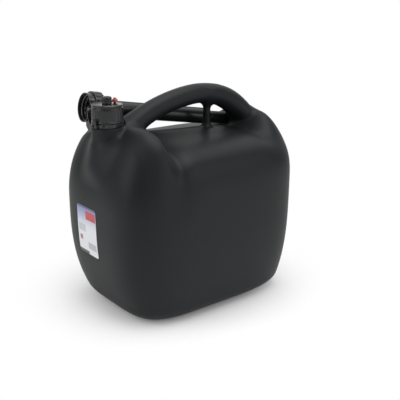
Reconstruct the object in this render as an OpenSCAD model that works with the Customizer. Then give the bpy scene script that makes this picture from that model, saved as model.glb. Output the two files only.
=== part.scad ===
// Twenty litre plastic fuel jerrycan with a screw cap and a stored pouring spout.
// X runs along the length with the neck at the negative end, Y across, Z up.
// The origin is the centre of the base. The spout is stored on the positive Y side.

/* [Body] */
// Length of the body where it is fullest
body_length = 367; // [350:1:400]
// Width of the body where it is fullest
body_width = 260; // [240:1:280]
// Height above the base where the body is fullest
bulge_height = 190; // [170:1:205]
// How far the front wall draws in from the bulge to the base
front_tuck = 39; // [28:1:44]
// How far the rear wall draws in from the bulge to the base
rear_tuck = 17; // [8:1:24]
// How far each side wall draws in from the bulge to the base
side_tuck = 24; // [12:1:32]
// Power of the curve by which the walls draw in
tuck_power = 3; // [2.4:0.1:3.4]
// Squareness of the body seen from above, 2 is an ellipse
plan_power = 4.5; // [3.5:0.1:6]
// Radius of the rounded edge around the base
base_edge = 25; // [16:1:28]
// Thickness of the blown wall
wall = 2.4; // [1.6:0.1:3.5]

/* [Shoulders] */
// Height toward which the shoulders beside the handle rise
shoulder_height = 291; // [284:1:296]
// Squareness of the shoulders at the sides and the rear
shoulder_power = 4.2; // [3.4:0.1:5]
// Height toward which the front lobe rises at the neck
lobe_height = 371; // [356:1:374]
// Squareness of the rounder front lobe
lobe_power = 2.2; // [2:0.1:2.6]
// Fall of the front lobe for each millimetre behind the neck axis
lobe_fall = 1.05; // [0.9:0.05:1.2]
// Height of the web under the hand opening
web_height = 305; // [302:1:309]
// Fall of the web for each millimetre toward the rear
web_fall = 0.06; // [0.04:0.005:0.08]
// Half width of the web where it leaves the shoulders
web_spread = 26; // [20:1:32]
// Distance of the valley behind the lobe from the neck axis
valley_setback = 68; // [60:1:76]
// Lean of the valley toward the front for each millimetre away from the middle
valley_lean = 0.16; // [0:0.02:0.3]
// Length over which the lobe falls into the valley
valley_run = 32; // [26:1:40]
// Depth of the valley below the shoulders
valley_depth = 10; // [4:1:14]
// Share of the width by which the sides pinch in at the valley
pinch = 0.035; // [0:0.005:0.06]
// Rise of the rear shoulder around the foot of the handle
hump_rise = 52; // [40:1:56]
// Half width of the raised rear shoulder
hump_spread = 86; // [66:1:90]

/* [Neck] */
// Distance of the neck axis from the front of the body
neck_setback = 35.5; // [33:0.5:44]
// Height of the shoulder of the neck column above the base
neck_shoulder = 323; // [321:1:326]
// Radius of the neck column under its shoulder
column_radius = 26.5; // [25.5:0.5:27.5]
// Radius of the neck column where it sinks into the body
column_foot = 33; // [30:1:36]
// Outer radius of the threaded neck
neck_radius = 21.5; // [20.5:0.1:22.5]
// Wall of the threaded neck
neck_wall = 3; // [2.5:0.1:4]
// Height of the threaded neck above its shoulder
neck_height = 30; // [27:0.5:31]

/* [Handle] */
// Height of the top of the handle above the base
handle_top = 374.5; // [368:0.5:384]
// Distance of the top of the handle behind the middle of the body
handle_peak = 34; // [24:1:44]
// Distance of the foot of the handle from the front of the body
handle_front_setback = 52.5; // [50:0.5:56]
// Distance of the foot of the handle from the rear of the body
handle_rear_setback = 31.5; // [28:0.5:38]
// Height of the foot of the handle at the front
handle_front_foot = 285; // [278:1:290]
// Height of the foot of the handle at the rear
handle_rear_foot = 262; // [250:1:270]
// Thickness of the grip from top to bottom
grip_thick = 34; // [28:1:37]
// Width of the grip
grip_width = 38; // [32:1:42]
// Extra half thickness of the handle above its rear foot
rear_swell = 3; // [1:0.5:8]
// Extra half width of the handle at its rear foot
rear_spread = 20; // [12:1:24]
// Wall of the hollow handle
handle_wall = 3; // [2:0.1:4]
// Distance of the strut in the hand opening behind the middle of the body
strut_place = 57; // [50:1:62]
// Radius of the strut at its waist
strut_radius = 6.5; // [5:0.5:8]

/* [Closure] */
// Gap between the screw cap or the union nut and the neck
neck_gap = 0.5; // [0.4:0.05:0.8]
// Height of the clip ring around the neck
collar_height = 6; // [5:0.5:6.5]
// Outer radius of the clip ring
collar_radius = 26; // [25.5:0.5:27]
// Clearance under, over and inside the clip ring
collar_gap = 0.3; // [0.3:0.05:0.6]
// Height of the screw cap
cap_height = 28.5; // [28:0.5:31]
// Thickness of the skirt of the screw cap
cap_skirt = 3; // [2.5:0.1:3.2]
// Thickness of the top of the screw cap
cap_top = 3; // [2.5:0.1:4]
// Thickness of the seal inside the screw cap
gasket_thick = 2; // [1.5:0.1:2.5]
// Number of grip ribs around the screw cap
cap_ribs = 36; // [24:2:48]
// Height of the grip ribs of the screw cap
cap_rib_depth = 0.6; // [0.4:0.1:0.8]
// Radius of the vent knob on the screw cap
knob_radius = 8; // [7.5:0.5:9]
// Height of the vent knob above the screw cap
knob_height = 11.5; // [9:0.5:14]
// Radius of the hollow stem of the vent knob
knob_stem_radius = 4; // [3.4:0.1:4.4]
// Number of flutes around the vent knob
knob_flutes = 10; // [6:1:14]
// Running clearance between the vent stem and its hole
stem_gap = 0.08; // [0.04:0.01:0.1]
// Distance of the red lock button from the axis of the screw cap
button_offset = 15; // [14.8:0.1:16]
// Outer radius of the lock button
button_radius = 4.6; // [4:0.1:4.8]
// Radius of the finger pin on top of the lock button
button_pin = 2.6; // [2:0.1:3]
// Radius of the guide stem under the lock button
button_stem = 1.6; // [1.2:0.1:1.8]
// Height of the cup of the lock button
button_cup = 3.6; // [3.2:0.1:4.2]
// Height of the finger pin above the cup
button_pin_height = 2.5; // [2:0.5:4]
// Travel of the lock button
button_travel = 2; // [1.5:0.1:2.4]
// Radius of the wire of the button spring
spring_wire = 0.3; // [0.2:0.05:0.4]
// Number of turns of the button spring
spring_turns = 4; // [3:1:5]
// Thickness of the upright plate between the screw cap and the spout
plate_thick = 2.4; // [2:0.1:2.8]
// Gap between the plate and the screw cap
plate_gap = 0.8; // [0.6:0.1:1]
// Reach of the plate ahead of the neck axis
plate_reach = 20.5; // [18:0.5:26]
// Length of the plate along the body
plate_length = 32; // [24:1:34]
// Height of the plate above the clip ring
plate_height = 22.5; // [20:0.5:26]
// Length of the saddle under the grip of the nut
saddle_width = 8; // [6:0.5:10]
// Thickness of the gusset ahead of the saddle
gusset_width = 9; // [6:0.5:10]
// Turn of the child lock around the neck, from the front toward the near side
lock_turn = 15; // [10:1:25]
// Width of the child lock lever
lever_width = 6; // [5:0.5:7]
// Thickness of the child lock lever
lever_thick = 2.4; // [2:0.1:3]
// Reach of the child lock lever above its pivot
lever_rise = 11; // [9:0.5:12]
// Reach of the child lock lever below its pivot
lever_drop = 2.6; // [2:0.1:2.8]
// Radius of the pivot of the lever
lever_pivot = 1.3; // [1.1:0.1:1.4]

/* [Spout] */
// Length of the spout from the mouth of its nut to its tip
spout_length = 296; // [290:1:300]
// Downward tilt of the stored spout toward the rear
spout_tilt = 9.2; // [8.8:0.1:9.8]
// Inward turn of the stored spout toward the handle
spout_turn = 5; // [4:0.1:5.5]
// Distance of the mouth of the nut ahead of the neck axis
spout_lead = 8; // [6:0.5:10]
// Distance of the mouth of the nut beside the neck axis
spout_side = 60; // [59:0.5:62]
// Height of the middle of the mouth above the neck shoulder
spout_lift = 22; // [21:0.5:24]
// Outer radius of the spout tube
tube_radius = 13.8; // [12.8:0.1:14]
// Wall of the spout tube
tube_wall = 1.8; // [1.4:0.1:2.4]
// Height of the air channel along the top of the tube
channel_rise = 1.4; // [1:0.1:1.8]
// Distance of the step in the tube from the mouth of the nut
tube_step = 250; // [246:1:252]
// Outer radius of the nozzle behind the step
nozzle_radius = 9; // [8.4:0.1:9.4]
// Thickness of the flange that the nut pulls on the neck
flange_thick = 3; // [2.5:0.1:3.5]
// Length of the union nut
nut_length = 28; // [27.8:0.1:31]
// Length of the plain ring at the mouth of the nut
nut_lip = 10.5; // [8:0.5:12]
// Thickness of the wall of the nut at its lip
nut_wall = 2.3; // [2.1:0.1:3]
// Height of the grip of the nut above its lip
nut_grip = 3.2; // [2.5:0.1:3.8]
// Number of grip ribs around the nut
nut_ribs = 18; // [12:1:24]
// Depth from the mouth of the nut to its seal
nut_depth = 20; // [16:0.5:20]
// How far below the gasket the nut's bore widens
nut_relief = 1; // [0.5:0.5:3]
// How much wider the nut's bore is around the gasket than along its thread
nut_undercut = 0.4; // [0.2:0.1:0.8]
// Running clearance between the nut and the tube
nut_gap = 0.35; // [0.3:0.05:0.5]
// Outer radius of the cap over the nozzle
tip_radius = 11; // [10.6:0.1:11.4]
// Number of ribs along the tip cap
tip_ribs = 16; // [10:1:20]
// Clearance between the tip cap and the nozzle
tip_gap = 0.15; // [0.1:0.01:0.3]
// Clearance around the tip in its pocket in the can
pocket_gap = 2; // [1.5:0.1:2.5]

/* [Label] */
// Width of the label on the front face
label_width = 60; // [40:1:66]
// Height of the label
label_height = 84; // [60:1:90]
// Height of the lower edge of the label above the base
label_low = 105; // [95:1:115]
// Sideways place of the middle of the label
label_side = 18; // [0:1:22]
// Thickness of the label
label_thick = 0.3; // [0.2:0.05:0.5]

/* [Hidden] */
$fn = 64;
half_length = body_length / 2;
half_width = body_width / 2;
neck_x = neck_setback - half_length;
neck_top = neck_shoulder + neck_height;
bore_radius = neck_radius - neck_wall;
valley_x = neck_x + valley_setback;
foot_x = half_length - handle_rear_setback;
// The clip ring lies on the neck shoulder and the cap ends just above it.
collar_low = neck_shoulder + collar_gap;
collar_high = collar_low + collar_height;
cap_inner = neck_radius + neck_gap;
cap_radius = cap_inner + cap_skirt;
gasket_low = neck_top + collar_gap;
cap_ceiling = gasket_low + gasket_thick;
cap_high = cap_ceiling + cap_top;
cap_low = cap_high - cap_height;

// Smooth step from 0 to 1.
function ease(t) =
    let (u = min(max(t, 0), 1))
    u * u * (3 - 2 * u);
// Bell curve with the value 1 at 0.
function bell(t) = exp(-t * t);
function mix(a, b, t) = a + (b - a) * t;
// Point at an angle on a rounded corner of the given squareness.
function corner(angle, power) =
    [cos(angle), sin(angle)]
    / pow(pow(abs(cos(angle)), power) + pow(abs(sin(angle)), power), 1 / power);

// Stored place of the spout. Its own Z axis runs from the mouth to the tip.
mouth = [neck_x - spout_lead, spout_side, neck_shoulder + spout_lift];
module in_store() {
    translate(mouth)
        rotate([0, 0, -spout_turn])
            rotate([0, 90 + spout_tilt, 0])
                children();
}
// Distance along the spout at a place along the body, and its axis there.
function along(x) = (x - mouth.x) / cos(spout_turn) / cos(spout_tilt);
function axis_y(x) = mouth.y - along(x) * cos(spout_tilt) * sin(spout_turn);
function axis_z(x) = mouth.z - along(x) * sin(spout_tilt);
tip_x = mouth.x + spout_length * cos(spout_tilt) * cos(spout_turn);

// Solid through a stack of closed rings, each counter-clockwise along the stack.
function middle(ring) = [for (p = ring) 1] * ring / len(ring);
module skin(rings) {
    n = len(rings[0]);
    last = len(rings) - 1;
    low = n * (last + 1);
    walls = [
        for (i = [0:last - 1], k = [0:n - 1])
            let (a = i * n + k, b = i * n + (k + 1) % n)
            each [[a, b + n, b], [a, a + n, b + n]]
    ];
    bottom = [for (k = [0:n - 1]) [low, k, (k + 1) % n]];
    top = [for (k = [0:n - 1]) [low + 1, last * n + (k + 1) % n, last * n + k]];
    polyhedron(
        points = [for (ring = rings) each ring, middle(rings[0]), middle(rings[last])],
        faces = concat(walls, bottom, top)
    );
}

// Blown body
// How far a wall has drawn in at a height.
function tuck(most, z) = most * pow(max(bulge_height - z, 0) / bulge_height, tuck_power);
// Point of the outline at a height, seen from above, pulled in by an inset.
function outline(angle, z, inset) =
    let (
        front = half_length - tuck(front_tuck, z) - inset,
        rear = half_length - tuck(rear_tuck, z) - inset,
        side = half_width - tuck(side_tuck, z) - inset,
        along_x = abs(cos(angle)) / (cos(angle) < 0 ? front : rear),
        along_y = abs(sin(angle)) / side,
        reach = pow(pow(along_x, plan_power) + pow(along_y, plan_power), -1 / plan_power)
    )
    [reach * cos(angle), reach * sin(angle)];
// Place of the valley along the body at a distance from the middle plane.
function valley(y) = valley_x - valley_lean * abs(y);
// Share of the width that is left where the sides pinch in behind the lobe.
function waist(x, y, z) =
    1 - pinch * bell((x - valley(y)) / 24) * ease((z - bulge_height) / 70 + 0.3);
// Height toward which the top of the body rises before its edges round over.
function lobe(x) = lobe_height - lobe_fall * max(x - neck_x, 0);
function flat(x, y) =
    shoulder_height
    + (web_height - web_fall * (x - valley_x) - shoulder_height) * bell(y / web_spread)
    - valley_depth * bell((x - valley(y)) / 22) * (1 - bell(y / 34))
    + hump_rise * ease((x - foot_x + 45) / 50) * bell(pow(y / hump_spread, 2));
// Depth of the trough that leaves room for the stored spout.
function trough(x, y) =
    let (floor_z = axis_z(x) - tube_radius - pocket_gap)
    max(flat(x, y) - floor_z, 0) * bell((y - axis_y(x)) / 18) * ease((tip_x + 30 - x) / 30);
function deck(x, y) =
    mix(lobe(x), flat(x, y) - trough(x, y), ease((x - valley(y)) / valley_run + 0.5));
function dome(x, y, share, inset) =
    let (power = mix(lobe_power, shoulder_power, ease((x - neck_x) / 80)))
    bulge_height
    + (deck(x, y) - 1.5 * inset - bulge_height) * pow(1 - pow(share, power), 1 / power);
function wall_ring(z, edge, inset, n) = [
    for (k = [0:n - 1])
        let (p = outline(360 * k / n, z, inset + edge))
        [p.x, p.y * waist(p.x, p.y, z), z]
];
function dome_ring(share, inset, n) = [
    for (k = [0:n - 1])
        let (
            p = share * outline(360 * k / n, bulge_height, inset),
            z = dome(p.x, p.y, share, inset)
        )
        [p.x, p.y * waist(p.x, p.y, z), z]
];
function body_rings(inset, n, walls, domes) =
    let (edge = max(base_edge - inset, 6))
    concat(
        [for (a = [0:22.5:90]) wall_ring(inset + edge * (1 - cos(a)), edge * (1 - sin(a)), inset, n)],
        [for (k = [1:walls]) wall_ring(mix(inset + edge, bulge_height, k / walls), 0, inset, n)],
        [for (a = [7.5:7.5:52.5]) dome_ring(corner(a, 2.8).x, inset, n)],
        [for (k = [1:domes]) dome_ring(corner(52.5, 2.8).x * (1 - k / (domes + 0.4)), inset, n)]
    );

// Handle
handle_x = handle_peak;
handle_front = handle_x - (handle_front_setback - half_length);
handle_rear = foot_x - handle_x;
grip_middle = handle_top - grip_thick / 2;
// Middle of the handle, with angle -90 at the front foot, 0 at the top, 90 at the rear foot.
function handle_middle(angle) =
    angle < 0
    ? let (c = corner(90 + angle, 1.64))
        [handle_x - handle_front * c.x, 0, mix(handle_front_foot, grip_middle, c.y)]
    : let (c = corner(90 - angle, 2.1))
        [handle_x + handle_rear * c.x, 0, mix(handle_rear_foot, grip_middle, c.y)];
function handle_half_thick(x) =
    grip_thick / 2
    + rear_swell * bell((x - handle_x - handle_rear * 0.75) / 45)
    + 6 * bell((x - handle_x + handle_front) / 30);
function handle_half_width(x) =
    grip_width / 2
    + rear_spread * bell((x - handle_x - handle_rear) / 26)
    + 10 * bell((x - handle_x + handle_front) / 34);
function handle_ring(angle, inset, n) =
    let (
        p = handle_middle(angle),
        step = handle_middle(angle + 0.5) - handle_middle(angle - 0.5),
        run = step / norm(step),
        up = [-run.z, 0, run.x],
        half_w = (inset > 0 ? grip_width / 2 : handle_half_width(p.x)) - inset,
        half_t = handle_half_thick(p.x) - inset
    )
    [
        for (k = [0:n - 1])
            p + [0, half_w * cos(360 * k / n), 0] + up * half_t * sin(360 * k / n)
    ];
module handle(inset, n, first, steps) {
    skin([for (k = [0:steps]) handle_ring(mix(first, 89, k / steps), inset, n)]);
}
// Strut across the hand opening, flared into the web and the grip.
module strut() {
    low = web_height - web_fall * (strut_place - valley_x) - 14;
    high = grip_middle;
    rise = high - low;
    translate([strut_place, 0, low])
        rotate_extrude($fn = 24)
            polygon(concat(
                [[0, 0]],
                [for (k = [0:10]) [strut_radius * (1 + 1.5 * pow(abs(k / 5 - 1), 3)), rise * k / 10]],
                [[0, rise]]
            ));
}

// The whole canister is one blown piece: body, neck, hollow handle and strut.
module canister() {
    foot = bulge_height + 40;
    color("#2c2e30")
        difference() {
            union() {
                difference() {
                    union() {
                        skin(body_rings(0, 64, 7, 8));
                        handle(0, 24, -78, 26);
                        strut();
                    }
                    neck_room(0);
                    spout_room(0);
                }
                translate([neck_x, 0, foot])
                    cylinder(h = neck_shoulder - foot, r1 = column_foot, r2 = column_radius);
                translate([neck_x, 0, foot])
                    cylinder(h = neck_top - foot, r = neck_radius);
            }
            difference() {
                union() {
                    skin(body_rings(wall, 64, 7, 8));
                    handle(handle_wall, 16, -84, 18);
                }
                neck_room(handle_wall);
                spout_room(handle_wall);
            }
            translate([neck_x, 0, foot])
                cylinder(h = neck_top - foot + 1, r = bore_radius);
        }
}
// Room around the neck in which the clip ring lies and the cap turns.
module neck_room(extra) {
    translate([neck_x, 0, neck_shoulder - extra])
        cylinder(h = neck_height + 20, r = collar_radius + 1.5 + extra);
}
// Room for the stored spout in the top of the body and the rear foot of the handle.
module spout_room(extra) {
    tube_end = tube_step + pocket_gap;
    tip_end = spout_length + pocket_gap;
    in_store() {
        translate([0, 0, -nut_length])
            cylinder(h = 2 * nut_length + 2 + extra, r = grip_radius + 1 + extra);
        translate([0, 0, nut_length])
            cylinder(h = tube_end - nut_length + extra, r = tube_radius + channel_rise + pocket_gap + extra);
        translate([0, 0, tube_end - 1])
            cylinder(h = tip_end - tube_end + 1 + extra, r = tip_radius + pocket_gap + extra);
    }
}

// Label on the front face
// Point of the front face at a place across it and a height, pushed out by a gap.
function front_face(y, z, out) =
    let (
        front = half_length - tuck(front_tuck, z) + out,
        side = half_width - tuck(side_tuck, z) + out,
        p = plan_power
    )
    [-front * pow(1 - pow(abs(y) / side, p), 1 / p), y, z];
module label() {
    gap = 0.05;
    steps = 8;
    left = label_side + label_width / 2;
    right = label_side - label_width / 2;
    color("#e9e9ee")
        skin([
            for (i = [0:steps])
                let (z = label_low + label_height * i / steps)
                concat(
                    [for (k = [0:steps]) front_face(mix(right, left, k / steps), z, gap)],
                    [for (k = [0:steps]) front_face(mix(left, right, k / steps), z, gap + label_thick)]
                )
        ]);
}

// Closure
lever_x = collar_radius + lever_thick / 2 + 0.9;
lever_z = collar_low + collar_height / 2;
lip_radius = cap_inner + nut_wall;
grip_radius = lip_radius + nut_grip;
plate_y = cap_radius + cap_rib_depth + plate_gap;
// Places the children at the neck axis with Z kept.
module on_neck() {
    translate([neck_x, 0, 0])
        children();
}
// Places the children at the pivot of the child lock.
module at_lock() {
    on_neck()
        rotate([0, 0, lock_turn])
            translate([-lever_x, 0, lever_z])
                children();
}
// Clip ring around the neck with the spout bracket and the ears of the child lock.
module neck_collar() {
    ear = 2;
    ear_y = lever_width / 2 + 0.3;
    color("#1b1c1e")
        difference() {
            union() {
                on_neck()
                    translate([0, 0, collar_low])
                        cylinder(h = collar_height, r = collar_radius);
                on_neck()
                    bracket_plate();
                saddle_arm();
                at_lock()
                    for (side = [-1, 1])
                        translate([0, side * (ear_y + ear / 2), 0])
                            lever_ear(ear);
            }
            on_neck()
                translate([0, 0, collar_low - 1])
                    cylinder(h = collar_height + 2, r = neck_radius + collar_gap);
            at_lock()
                translate([0, lever_width, 0])
                    rotate([90, 0, 0])
                        cylinder(h = 2 * lever_width, r = lever_pivot + stem_gap, $fn = 32);
            in_store()
                translate([0, 0, -nut_length])
                    cylinder(h = 2 * nut_length + 8, r = grip_radius + 0.4);
        }
}
module lever_ear(ear) {
    translate([0, ear / 2, 0])
        rotate([90, 0, 0])
            cylinder(h = ear, r = collar_height / 2, $fn = 32);
    translate([0, -ear / 2, -collar_height / 2])
        cube([lever_x - neck_radius - 2, ear, collar_height]);
}
// Upright plate with two rounded corners between the screw cap and the spout nut.
module bracket_plate() {
    corner_r = 4;
    low = collar_low;
    high = collar_high + plate_height;
    translate([0, plate_y + plate_thick, 0])
        rotate([90, 0, 0])
            linear_extrude(plate_thick)
                union() {
                    translate([-plate_reach, low + 12])
                        square([plate_length, high - low - 12 - corner_r]);
                    translate([corner_r - plate_reach, high - corner_r])
                        square([plate_length - 2 * corner_r, corner_r]);
                    for (x = [corner_r - plate_reach, plate_length - plate_reach - corner_r])
                        translate([x, high - corner_r])
                            circle(corner_r, $fn = 32);
                    polygon([
                        [-plate_reach, low + 12], [corner_r - plate_reach, low],
                        [plate_length - plate_reach, low], [plate_length - plate_reach, low + 12]
                    ]);
                }
}
// Arm from the clip ring that carries the grip of the spout nut from below.
module saddle_arm() {
    root = column_radius + 1.5;
    reach = spout_side - 14;
    front = mouth.x - 5;
    back = mouth.x + nut_lip + 1.5 + saddle_width;
    for (part = [[front, gusset_width, 17, 12], [front + gusset_width - 1, back - front - gusset_width + 1, 9, 5]])
        translate([part[0], 0, 0])
            rotate([90, 0, 90])
                linear_extrude(part[1])
                    polygon([
                        [neck_radius + 2, collar_low], [neck_radius + 2, collar_high],
                        [reach, collar_high], [reach, collar_low - 6],
                        [reach - 10, collar_low - part[2]], [root, collar_low - part[3]],
                        [root, collar_low]
                    ]);
}
// Child lock lever on two trunnions. Its nose stands beside the skirt of the cap.
module lock_lever() {
    nose = lever_x - lever_thick / 2 - cap_radius - cap_rib_depth - 0.5;
    color("#232426")
        at_lock() {
            translate([-lever_thick / 2, -lever_width / 2, -lever_drop])
                cube([lever_thick, lever_width, lever_drop + lever_rise]);
            translate([lever_thick / 2 - 1, -lever_width / 2, lever_rise - 3])
                cube([nose + 1, lever_width, 3]);
            translate([0, lever_width / 2 + 2.3, 0])
                rotate([90, 0, 0])
                    cylinder(h = lever_width + 4.6, r = lever_pivot, $fn = 32);
            translate([-lever_thick / 2 - 1.2, -lever_width / 2, lever_rise - 4])
                cube([1.4, lever_width, 2.5]);
        }
}

// Ribs or grooves around an axis.
module around(count) {
    for (k = [0:count - 1])
        rotate([0, 0, 360 * k / count])
            children();
}
seal_radius = 6.8;
seal_depth = 1.4;
module screw_cap() {
    band = 0.8;
    color("#1d1e20")
        on_neck()
            difference() {
                union() {
                    rotate_extrude()
                        polygon([
                            [0, cap_low], [cap_radius + cap_rib_depth, cap_low],
                            [cap_radius + cap_rib_depth, cap_low + 2.4], [cap_radius, cap_low + 3],
                            [cap_radius, cap_high - 5], [cap_radius - band, cap_high - 4.6],
                            [cap_radius - band, cap_high - 3.4], [cap_radius, cap_high - 3],
                            [cap_radius, cap_high - 1.2], [cap_radius - 1.2, cap_high], [0, cap_high]
                        ]);
                    around(cap_ribs)
                        translate([cap_radius, 0, cap_low + 1])
                            cylinder(h = cap_height - 7, r = cap_rib_depth, $fn = 16);
                }
                translate([0, 0, cap_low - 1])
                    cylinder(h = cap_ceiling - cap_low + 1, r = cap_inner);
                translate([0, 0, cap_high - seal_depth])
                    cylinder(h = seal_depth + 1, r = seal_radius + 0.2);
                translate([0, 0, cap_ceiling - 1])
                    cylinder(h = cap_top + 2, r = knob_stem_radius + stem_gap);
                translate([button_offset, 0, cap_ceiling - 1])
                    cylinder(h = cap_top + 2, r = button_stem + stem_gap);
            }
}
// Flat seal that the screw cap presses on the rim of the neck.
module cap_gasket() {
    color("#4a4c4f")
        on_neck()
            translate([0, 0, gasket_low])
                difference() {
                    cylinder(h = gasket_thick, r = cap_inner - collar_gap);
                    translate([0, 0, -1])
                        cylinder(h = gasket_thick + 2, r = knob_stem_radius + 3);
                }
}
// Vent screw: a fluted knob on a hollow stem, kept in the cap by a small flange.
module vent_knob() {
    foot = 0.3;
    tip = cap_ceiling - gasket_thick + 0.3;
    color("#141516")
        on_neck()
            difference() {
                union() {
                    translate([0, 0, cap_high + foot])
                        rotate_extrude()
                            polygon([
                                [0, 0], [knob_radius, 0], [knob_radius, knob_height - 2],
                                [knob_radius - 1.6, knob_height - foot], [0, knob_height - foot]
                            ]);
                    translate([0, 0, tip])
                        cylinder(h = cap_high + 1 - tip, r = knob_stem_radius);
                    translate([0, 0, tip])
                        cylinder(h = cap_ceiling - 0.2 - tip, r = knob_stem_radius + 1.4);
                }
                translate([0, 0, cap_high + 2])
                    around(knob_flutes)
                        translate([knob_radius + 0.9, 0, 0])
                            cylinder(h = knob_height, r = 1.6, $fn = 24);
                translate([0, 0, tip - 1])
                    cylinder(h = cap_high + 5 - tip, r = 1.5, $fn = 32);
                translate([-knob_radius - 1, 0, cap_high + 2.5])
                    rotate([0, 90, 0])
                        cylinder(h = 2 * knob_radius + 2, r = 1, $fn = 24);
            }
}
// Sealing ring in a seat in the cap, under the vent knob.
module vent_seal() {
    color("#3a3b3d")
        on_neck()
            translate([0, 0, cap_high - seal_depth + 0.05])
                difference() {
                    cylinder(h = seal_depth, r = seal_radius);
                    translate([0, 0, -1])
                        cylinder(h = seal_depth + 2, r = knob_stem_radius + 0.2);
                }
}
cup_low = cap_high + button_travel + 0.2;
// Red push button: an inverted cup with a finger pin and a guide stem.
module lock_button() {
    roof = 1.2;
    color("#c8403a")
        translate([neck_x + button_offset, 0, 0]) {
            difference() {
                translate([0, 0, cup_low])
                    cylinder(h = button_cup, r = button_radius, $fn = 48);
                translate([0, 0, cup_low - 1])
                    cylinder(h = button_cup - roof + 1, r = button_radius - 0.9, $fn = 48);
            }
            translate([0, 0, cup_low + button_cup - 0.2])
                cylinder(h = button_pin_height + 0.2, r = button_pin, $fn = 48);
            translate([0, 0, cap_ceiling + button_travel + 0.1])
                cylinder(h = cup_low + button_cup - cap_ceiling - button_travel - 0.3, r = button_stem);
        }
}
// Coil spring between the cap and the roof of the button.
module button_spring() {
    low = cap_high + spring_wire + 0.05;
    high = cup_low + button_cup - 1.2 - spring_wire - 0.05;
    coil = (button_stem + button_radius - 0.9) / 2;
    steps = 14 * spring_turns;
    color("#b9bcc0")
        translate([neck_x + button_offset, 0, 0])
            skin([
                for (k = [0:steps])
                    let (
                        turn = 360 * spring_turns * k / steps,
                        out = [cos(turn), sin(turn), 0],
                        middle_z = mix(low, high, k / steps)
                    )
                    [
                        for (j = [0:7])
                            out * (coil + spring_wire * cos(-45 * j))
                            + [0, 0, middle_z + spring_wire * sin(-45 * j)]
                    ]
            ]);
}

// Spout, drawn along its own axis from the mouth of the nut
flange_low = nut_depth + gasket_thick + 0.05;
flange_high = flange_low + flange_thick;
module spout_tube() {
    end = spout_length - 4;
    inner = tube_radius - tube_wall;
    thin = nozzle_radius - tube_wall;
    color("#17181a")
        in_store()
            difference() {
                union() {
                    rotate_extrude()
                        polygon([
                            [0, flange_low], [cap_inner - 0.4, flange_low],
                            [cap_inner - 0.4, flange_high], [tube_radius, flange_high],
                            [tube_radius, tube_step - 4], [nozzle_radius, tube_step],
                            [nozzle_radius, end - 1], [nozzle_radius - 1, end], [0, end]
                        ]);
                    translate([-tube_radius + 1.2, 0, nut_length + 3])
                        cylinder(h = tube_step - nut_length - 10, r = channel_rise + 1.2, $fn = 32);
                }
                rotate_extrude()
                    polygon([
                        [0, flange_low - 1], [inner, flange_low - 1], [inner, tube_step - 5],
                        [thin, tube_step - 1], [thin, end + 1], [0, end + 1]
                    ]);
            }
}
module spout_gasket() {
    color("#4a4c4f")
        in_store()
            translate([0, 0, nut_depth])
                difference() {
                    cylinder(h = gasket_thick, r = cap_inner - 0.4);
                    translate([0, 0, -1])
                        cylinder(h = gasket_thick + 2, r = tube_radius - tube_wall);
                }
}
// Union nut with a threaded mouth and a coarse grip.
module spout_nut() {
    seat = flange_high + 0.3;
    color("#1a1b1d")
        in_store()
            difference() {
                rotate_extrude()
                    polygon([
                        [0, 0], [lip_radius, 0], [lip_radius, nut_lip - 1], [grip_radius, nut_lip],
                        [grip_radius, nut_length - 1.5], [grip_radius - 1.5, nut_length], [0, nut_length]
                    ]);
                translate([0, 0, -1])
                    cylinder(h = nut_depth - nut_relief + 1, r = cap_inner);
                translate([0, 0, nut_depth - nut_relief])
                    cylinder(h = seat - nut_depth + nut_relief, r = cap_inner + nut_undercut);
                translate([0, 0, seat - 1])
                    cylinder(h = nut_length, r = tube_radius + nut_gap);
                around(nut_ribs)
                    translate([grip_radius + 0.6, 0, nut_lip + 1.5])
                        cylinder(h = nut_length, r = 2, $fn = 24);
            }
}
// Ribbed cap over the nozzle.
module tip_cap() {
    open = tube_step + 2;
    color("#1e2022")
        in_store()
            difference() {
                rotate_extrude()
                    polygon([
                        [0, open], [tip_radius, open], [tip_radius, spout_length - 1.5],
                        [tip_radius - 1.5, spout_length], [0, spout_length]
                    ]);
                translate([0, 0, open - 1])
                    cylinder(h = spout_length - open - 1.6, r = nozzle_radius + tip_gap);
                around(tip_ribs)
                    translate([tip_radius + 0.5, 0, open + 4])
                        cylinder(h = spout_length, r = 1.1, $fn = 16);
            }
}

canister();
label();
neck_collar();
lock_lever();
screw_cap();
cap_gasket();
vent_knob();
vent_seal();
lock_button();
button_spring();
spout_tube();
spout_gasket();
spout_nut();
tip_cap();
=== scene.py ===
"""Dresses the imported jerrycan: smooth blown body, moulded closure, stored spout, label and studio."""

import math

import bpy
import numpy as np
from bpy.props import FloatProperty, FloatVectorProperty, IntProperty, PointerProperty
from mathutils import Matrix, Vector


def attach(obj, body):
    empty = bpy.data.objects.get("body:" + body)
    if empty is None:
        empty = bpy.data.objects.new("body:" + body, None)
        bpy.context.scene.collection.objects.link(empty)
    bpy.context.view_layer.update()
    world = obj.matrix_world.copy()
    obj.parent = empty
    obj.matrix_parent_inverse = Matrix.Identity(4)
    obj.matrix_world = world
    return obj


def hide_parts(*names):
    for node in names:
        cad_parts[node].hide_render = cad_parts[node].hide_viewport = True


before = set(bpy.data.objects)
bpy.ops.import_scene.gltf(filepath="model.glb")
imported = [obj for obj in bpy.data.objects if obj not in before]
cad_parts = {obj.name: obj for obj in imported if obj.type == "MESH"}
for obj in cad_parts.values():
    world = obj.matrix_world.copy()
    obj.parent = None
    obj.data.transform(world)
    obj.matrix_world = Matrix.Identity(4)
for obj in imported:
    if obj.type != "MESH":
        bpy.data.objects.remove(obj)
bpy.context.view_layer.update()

bl_info = {
    "name": "Jerrycan dress",
    "version": (1, 0, 0),
    "blender": (4, 5, 0),
    "location": "3D View > Sidebar > Jerrycan",
    "description": "Smooth meshes, materials and a studio around the packed jerrycan",
    "category": "Object",
}

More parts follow.
